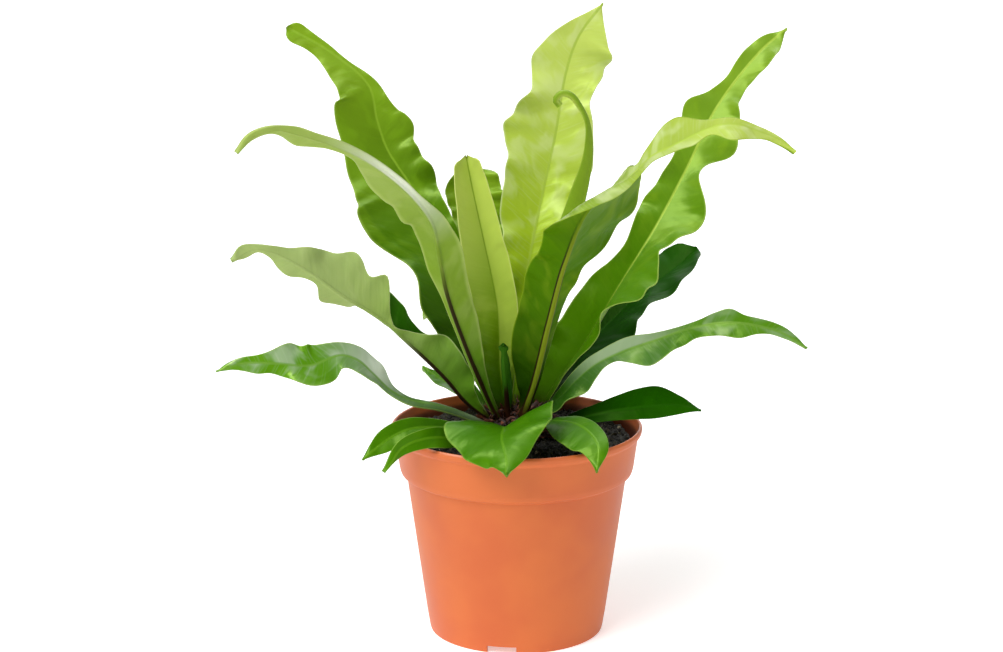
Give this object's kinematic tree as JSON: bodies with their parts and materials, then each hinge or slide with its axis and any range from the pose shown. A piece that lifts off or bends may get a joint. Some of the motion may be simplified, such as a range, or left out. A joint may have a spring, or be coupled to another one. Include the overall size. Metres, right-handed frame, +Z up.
{
  "type": "potted fern",
  "caption": "Bird's-nest fern: long strap fronds with waved edges rising from a scaly crown, in a tapered plastic nursery pot of soil.",
  "frame": {"origin": "the middle of the pot's foot, on the surface that it stands on", "axes": "+Z up from the pot to the fronds, with the side that the picture shows towards -Y"},
  "size_m": [0.2686, 0.2009, 0.2935],
  "materials": {
    "pot": "satin",
    "soil": "matte",
    "crown": "matte",
    "frond_mature": "satin",
    "frond_middle": "satin",
    "frond_young": "satin"
  },
  "bodies": {
    "root": {"pot": "pot", "soil": "soil", "crown": "crown", "frond_left_tall": "frond_mature", "frond_left_arching": "frond_young", "frond_left_ruffled": "frond_middle", "frond_left_low": "frond_mature", "frond_left_short_upper": "frond_mature", "frond_left_short_lower": "frond_middle", "frond_front": "frond_middle", "frond_front_right": "frond_middle", "frond_right_smooth": "frond_mature", "frond_right_low": "frond_middle", "frond_right_dark": "frond_mature", "frond_right_tall": "frond_mature", "frond_right_arching": "frond_middle", "frond_centre_tall": "frond_young", "frond_centre_curled": "frond_young", "frond_centre_folded": "frond_young", "frond_centre_spear": "frond_mature", "frond_back_dark": "frond_mature", "frond_back_left_low": "frond_mature", "frond_back_left": "frond_middle", "frond_back_middle": "frond_mature", "frond_back_right": "frond_middle", "frond_back_low": "frond_mature"}
  },
  "joints": []
}
